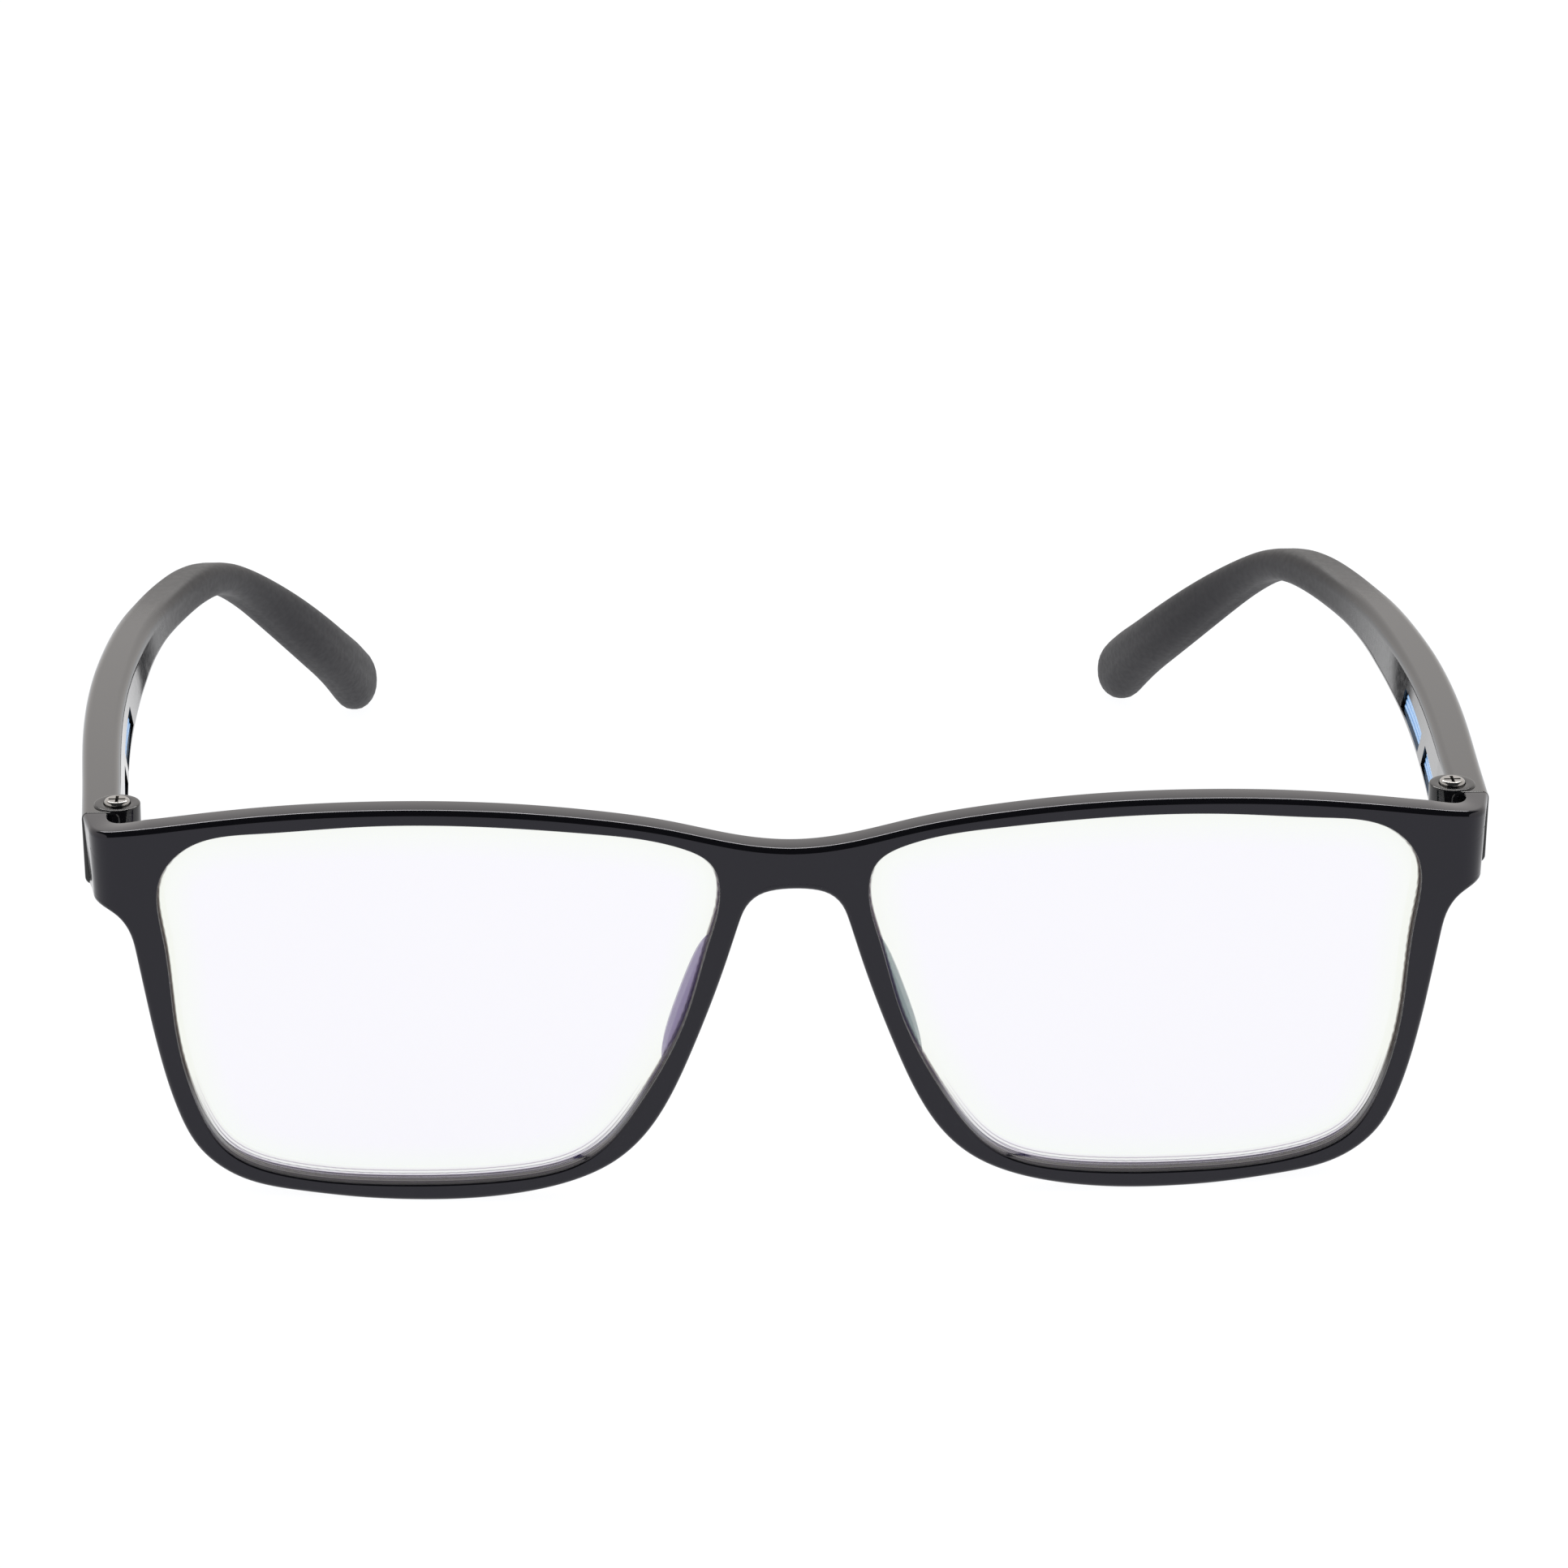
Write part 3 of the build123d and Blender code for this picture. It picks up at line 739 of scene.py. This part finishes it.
# %% [markdown]
# ## Materials
#
# Each finish starts from what the real one is. Colours are given as the eye reads them and one
# function makes them linear. One small function adds a node with its settings and links.

# %% Colours and nodes
def colour(hex_value):
    """An sRGB hex colour as linear red, green, blue and an alpha of one."""
    c = np.array([int(hex_value[i : i + 2], 16) for i in (1, 3, 5)]) / 255
    linear = np.where(c <= 0.04045, c / 12.92, ((c + 0.055) / 1.055) ** 2.4)
    return (*linear.tolist(), 1.0)


def finish(name):
    """A new material with its shader and output, ready for nodes."""
    made = bpy.data.materials.new(name)
    made.use_nodes = True
    return made, made.node_tree, made.node_tree.nodes["Principled BSDF"]


def add(tree, kind, settings=None, inputs=None, links=None):
    """A node of that kind. settings are its own values, inputs its sockets' values, and links
    its sockets' sources as (node, output name)."""
    made = tree.nodes.new(kind)
    for key, value in (settings or {}).items():
        setattr(made, key, value)
    for key, value in (inputs or {}).items():
        made.inputs[key].default_value = value
    for key, (source, output) in (links or {}).items():
        tree.links.new(source.outputs[output], made.inputs[key])
    return made


def ramp(tree, source, stops):
    """A colour ramp over (place, hex colour) stops."""
    made = add(tree, "ShaderNodeValToRGB", links={"Fac": source})
    for element, (place, value) in zip(made.color_ramp.elements, (stops[0], stops[-1])):
        element.position, element.color = place, colour(value)
    for place, value in stops[1:-1]:
        made.color_ramp.elements.new(place).color = colour(value)
    return made


def remap(tree, source, taken, given, smooth=False):
    """A node that maps the range taken, as (from, to), onto the range given."""
    kind = {"interpolation_type": "SMOOTHSTEP" if smooth else "LINEAR"}
    ends = {"From Min": taken[0], "From Max": taken[1], "To Min": given[0], "To Max": given[1]}
    return add(tree, "ShaderNodeMapRange", kind, ends, {"Value": source})


def noise(tree, where, scale, detail, roughness=0.5):
    """Noise over the place in the object, with scale features to the metre."""
    inputs = {"Scale": scale, "Detail": detail, "Roughness": roughness}
    return add(tree, "ShaderNodeTexNoise", inputs=inputs, links={"Vector": (where, "Object")})


def object_axes(tree):
    """The place in the object, whole and as x, y and z."""
    where = add(tree, "ShaderNodeTexCoord")
    return where, add(tree, "ShaderNodeSeparateXYZ", links={"Vector": (where, "Object")})


def metal(name, hex_value, scale, roughness):
    """A bare metal whose roughness wanders between two values with fine noise."""
    made, tree, shader = finish(name)
    shader.inputs["Base Color"].default_value = colour(hex_value)
    shader.inputs["Metallic"].default_value = 1.0
    marks = noise(tree, add(tree, "ShaderNodeTexCoord"), scale, 2.0)
    rough = remap(tree, (marks, "Fac"), (0, 1), roughness)
    tree.links.new(rough.outputs["Result"], shader.inputs["Roughness"])
    return made


# %% [markdown]
# ### Polished black plastic
#
# The front is injection-moulded polycarbonate out of a polished steel mould. Its black shows
# only in what it reflects, so the base is nearly black. Moulded gloss isn't a perfect mirror: it
# has a faint orange peel a few millimetres across, and a little dust and handling haze.

# %% Front finish
front_black, tree, shader = finish("polished_black_polycarbonate")
shader.inputs["Base Color"].default_value = colour("#08080b")
shader.inputs["IOR"].default_value = 1.44
# The cool specular tint is a painted cast of the bluish light that the black face reflects.
shader.inputs["Specular Tint"].default_value = colour("#f2f0ff")
where = add(tree, "ShaderNodeTexCoord")
haze = noise(tree, where, 260.0, 3.0, 0.6)
gloss = remap(tree, (haze, "Fac"), (0.3, 0.75), (0.05, 0.11))
peel = noise(tree, where, 330.0, 1.0)
bump = {"Strength": 0.05, "Distance": 0.12 * MM}
relief = add(tree, "ShaderNodeBump", inputs=bump, links={"Height": (peel, "Fac")})
tree.links.new(gloss.outputs["Result"], shader.inputs["Roughness"])
tree.links.new(relief.outputs["Normal"], shader.inputs["Normal"])
front.data.materials.append(front_black)

# %% [markdown]
# ### Temple plastic, glossy in front and satin behind
#
# The temples are the same black plastic. Near the hinge they are polished. Towards the ear the
# mould is textured and the plastic turns satin and a little greyer, so roughness and colour
# follow the distance back along the object.

# %% Temple finish
temple_black, tree, shader = finish("satin_black_polycarbonate")
shader.inputs["IOR"].default_value = 1.5
where, axes = object_axes(tree)
satin_from, satin_to = ((BRIDGE_Y + depth) * MM for depth in (66, 100))
along = remap(tree, (axes, "Y"), (satin_from, satin_to), (0, 1), smooth=True)
tone = ramp(tree, (along, "Result"), [(0.0, "#0b0b0d"), (1.0, "#1a191e")])
tree.links.new(tone.outputs["Color"], shader.inputs["Base Color"])

grain = noise(tree, where, 1500.0, 2.0)
polished = remap(tree, (grain, "Fac"), (0.3, 0.7), (0.05, 0.09))
satin = remap(tree, (grain, "Fac"), (0.3, 0.7), (0.48, 0.56))
blend = {"Factor": (along, "Result"), "A": (polished, "Result"), "B": (satin, "Result")}
rough = add(tree, "ShaderNodeMix", {"data_type": "FLOAT"}, links=blend)
tree.links.new(rough.outputs["Result"], shader.inputs["Roughness"])

dull_from, dull_to = ((BRIDGE_Y + depth) * MM for depth in (96, 122))
sheen = remap(tree, (axes, "Y"), (dull_from, dull_to), (0.5, 0.26), smooth=True)
tree.links.new(sheen.outputs["Result"], shader.inputs["Specular IOR Level"])

texture = remap(tree, (along, "Result"), (0, 1), (0.002, 0.06))
sources = {"Height": (grain, "Fac"), "Strength": (texture, "Result")}
relief = add(tree, "ShaderNodeBump", inputs={"Distance": 0.05 * MM}, links=sources)
tree.links.new(relief.outputs["Normal"], shader.inputs["Normal"])
for temple in temples.values():
    temple.data.materials.append(temple_black)

# %% [markdown]
# ### Coated lenses
#
# The lenses are clear CR-39 with an anti-reflective coat that holds back some blue. Nearly all
# light goes through, so the clear part is the shader's own transmission, and the coat shows as a
# faint cool tint. Near the wall of the opening, the light and shade of the polished edge are
# painted into the colour. Along the bottom, where the lens is seen over the rim, that is a painted
# pale highlight band, a painted dark line of shade and a painted purple reflection line. Higher up
# only a painted dark line of shade is left, with a painted trace of green reflection fading into
# the clear middle.

# %% Lens finish
lens_clear, tree, shader = finish("coated_clear_lens")
shader.inputs["Transmission Weight"].default_value = 1.0
shader.inputs["IOR"].default_value = 1.5
shader.inputs["Roughness"].default_value = 0.0
shader.inputs["Specular Tint"].default_value = colour("#b9a8ff")
wall = add(tree, "ShaderNodeAttribute", {"attribute_name": "from_wall"})
zone = remap(tree, (wall, "Fac"), (0, 4), (0, 1))
# Painted edge light near the bottom: a pale highlight band, a dark line of shade and a purple
# reflection line, then the lens's own cool tint.
low_painted_edge_and_tint = ramp(tree, (zone, "Result"), [
    (0.0, "#8d8c90"), (0.02, "#e8e7ea"), (0.075, "#dcdbdf"), (0.095, "#4a484e"), (0.115, "#efeef1"),
    (0.15, "#efeef1"), (0.17, "#74627e"), (0.195, "#eae7ee"), (0.27, "#f4f7f3"), (1.0, "#f5f4f8")])
# Painted edge light higher up: a dark line of shade and a faint green reflection, then the lens's
# own cool tint.
high_painted_edge_and_tint = ramp(tree, (zone, "Result"), [
    (0.0, "#2a2826"), (0.045, "#5a534e"), (0.075, "#f2f4ee"), (0.35, "#f4f6f2"), (1.0, "#f5f4f8")])
_, axes = object_axes(tree)
upwards = remap(tree, (axes, "Z"), (5 * MM, 13 * MM), (0, 1))
# The mix node keeps its colour sockets at these places.
COLOUR_A, COLOUR_B, COLOUR_OUT = 6, 7, 2
blend = {
    "Factor": (upwards, "Result"), COLOUR_A: (low_painted_edge_and_tint, "Color"), COLOUR_B: (high_painted_edge_and_tint, "Color")}
# Blends the painted edge light of the bottom with that of the higher edge by height.
tint = add(tree, "ShaderNodeMix", {"data_type": "RGBA"}, links=blend)
tree.links.new(tint.outputs[COLOUR_OUT], shader.inputs["Base Color"])
for lens in lenses.values():
    lens.data.materials.append(lens_clear)

# %% [markdown]
# ### Nose pads
#
# The pads are smoky clear plastic. Their lilac on one side and grey-green on the other are painted
# reflection colours of the coated lenses that the pads are seen through.

# %% Pad finish
pad_smoke, tree, shader = finish("smoky_clear_polycarbonate")
_, axes = object_axes(tree)
# Painted reflection colour, set by which side of the middle the pad is on.
painted_reflection_side = remap(tree, (axes, "X"), (-9 * MM, 9 * MM), (0, 1))
tone = ramp(tree, (painted_reflection_side, "Result"), [(0.0, "#9a8ab8"), (1.0, "#86a09a")])
tree.links.new(tone.outputs["Color"], shader.inputs["Base Color"])
shader.inputs["Transmission Weight"].default_value = 0.35
shader.inputs["IOR"].default_value = 1.5
shader.inputs["Roughness"].default_value = 0.18
for pad in pads.values():
    pad.data.materials.append(pad_smoke)

# %% [markdown]
# ### Blue inlays
#
# The strips are dyed acetate, sky blue. The grooves between their ribs are painted a deeper blue as
# shade.

# %% Inlay finish
inlay_blue, tree, shader = finish("sky_blue_acetate")
shader.inputs["IOR"].default_value = 1.49
shader.inputs["Roughness"].default_value = 0.22
_, axes = object_axes(tree)
turns_per_mm = 2 * math.pi * RIBS / (2 * WINDOW_HALF)
line = {1: turns_per_mm / MM, 2: -turns_per_mm * (WINDOW_Z - WINDOW_HALF)}
rib = add(tree, "ShaderNodeMath", {"operation": "MULTIPLY_ADD"}, line, {0: (axes, "Z")})
wave = add(tree, "ShaderNodeMath", {"operation": "COSINE"}, links={0: (rib, "Value")})
height = remap(tree, (wave, "Value"), (1, -1), (0, 1))
# Painted shade: the groove bottoms take the deepest blue, the rib crests the palest.
tone = ramp(tree, (height, "Result"), [(0.0, "#5c9fe8"), (0.35, "#84c0fa"), (1.0, "#a6d1ff")])
tree.links.new(tone.outputs["Color"], shader.inputs["Base Color"])
for strip in inlays:
    strip.data.materials.append(inlay_blue)

# %% [markdown]
# ### Screws and inserts
#
# The screws and inserts keep their CAD shapes. The screw is nickel-plated steel and the insert is
# plain brass. Both carry fine marks, which make some spots a little rougher than others.

# %% Metal finishes
screw_steel = metal("nickel_plated_steel", "#9b9996", 2500.0, (0.1, 0.24))
nut_brass = metal("turned_brass", "#c9a45c", 1800.0, (0.25, 0.42))
for side in ("left", "right"):
    for node_name, bare in (("hinge_screw_", screw_steel), ("hinge_nut_", nut_brass)):
        metal_piece = frame["nodes"][node_name + side]
        metal_piece.data.materials.clear()
        metal_piece.data.materials.append(bare)

# %% [markdown]
# ## Table, light and camera
#
# Glossy black shows its surroundings, so the studio is part of the look. The glasses stand on a
# white light table in an even, slightly warm room. A dark canopy from in front of them to over
# them draws the black band along every rounded top edge, and a narrow strip light behind its
# rear edge draws the fine white line. Both are seen in reflections only.

# %% Table
mesh = bpy.data.meshes.new("table")
mesh.from_pydata([(-3, -3, 0), (3, -3, 0), (3, 3, 0), (-3, 3, 0)], [], [(0, 1, 2, 3)])
table = bpy.data.objects.new("table", mesh)
bpy.context.scene.collection.objects.link(table)
table_white, tree, shader = finish("white_table")
shader.inputs["Base Color"].default_value = colour("#505052")
shader.inputs["Roughness"].default_value = 0.7
shader.inputs["Specular IOR Level"].default_value = 0.0
shader.inputs["Emission Color"].default_value = (0.985, 0.99, 1.0, 1.0)
shader.inputs["Emission Strength"].default_value = 0.97
table.data.materials.append(table_white)

# %% Light
world = bpy.data.worlds.new("white_room")
bpy.context.scene.world = world
world.use_nodes = True
world.node_tree.nodes["Background"].inputs["Color"].default_value = (1, 0.965, 0.94, 1)
world.node_tree.nodes["Background"].inputs["Strength"].default_value = 1.15


def shown_to_gloss_only(made):
    """A card that is only seen in reflections."""
    made.visible_camera = made.visible_diffuse = made.visible_shadow = False
    made.visible_transmission = made.visible_volume_scatter = False


def arched_card(name, radius, half_width, first, last, tint, glow):
    """A strip of a cylinder about the left-right axis, from one elevation to another. 0 is the
    horizon in front of the glasses, 90 overhead and 180 the horizon behind them."""
    angle = np.radians(np.linspace(first, last, 33))
    ring = np.stack([-radius * np.cos(angle), radius * np.sin(angle)], 1)
    x = np.array([-half_width, half_width])
    across = np.broadcast_to(x, (33, 2))
    grid = np.stack([across, *(np.broadcast_to(ring[:, c, None], (33, 2)) for c in (0, 1))], -1)
    points, faces = shell(grid, columns_close=False, caps=False)
    card_mesh = bpy.data.meshes.new(name)
    card_mesh.from_pydata(points.tolist(), [], faces)
    made = bpy.data.objects.new(name, card_mesh)
    bpy.context.scene.collection.objects.link(made)
    surface, _, card_shader = finish(name + "_surface")
    card_shader.inputs["Base Color"].default_value = (0.0, 0.0, 0.0, 1)
    card_shader.inputs["Specular IOR Level"].default_value = 0.0
    card_shader.inputs["Emission Color"].default_value = tint
    card_shader.inputs["Emission Strength"].default_value = glow
    card_mesh.materials.append(surface)
    shown_to_gloss_only(made)


arched_card("dark_canopy", 1.5, 1.5, 4, 128, (0.9, 0.95, 1.0, 1.0), 0.06)
arched_card("light_strip", 1.45, 0.62, 128, 137, (1.0, 0.99, 0.97, 1.0), 14.0)

bpy.context.scene.view_settings.view_transform = "Standard"
bpy.context.scene.view_settings.look = "None"

# %% Camera
eye = Vector((-25.62, -592.74, 250.70)) * MM
target = Vector((1.283, -23.725, 25.909)) * MM
forward = (target - eye).normalized()
right = forward.cross(Vector((0, 0, 1))).normalized()
up = right.cross(forward)
roll = math.radians(0.134)
turned_right = right * math.cos(roll) + up * math.sin(roll)
turned_up = up * math.cos(roll) - right * math.sin(roll)
turned_axes = Matrix((turned_right, turned_up, -forward)).transposed().to_4x4()
camera_data = bpy.data.cameras.new("camera")
camera_data.sensor_width = 36.0
camera_data.lens = 129.9
camera_data.dof.use_dof = False
camera_data.clip_start, camera_data.clip_end = 0.01, 20.0
camera = bpy.data.objects.new("camera", camera_data)
camera.matrix_world = Matrix.Translation(eye) @ turned_axes
bpy.context.scene.collection.objects.link(camera)
bpy.context.scene.camera = camera
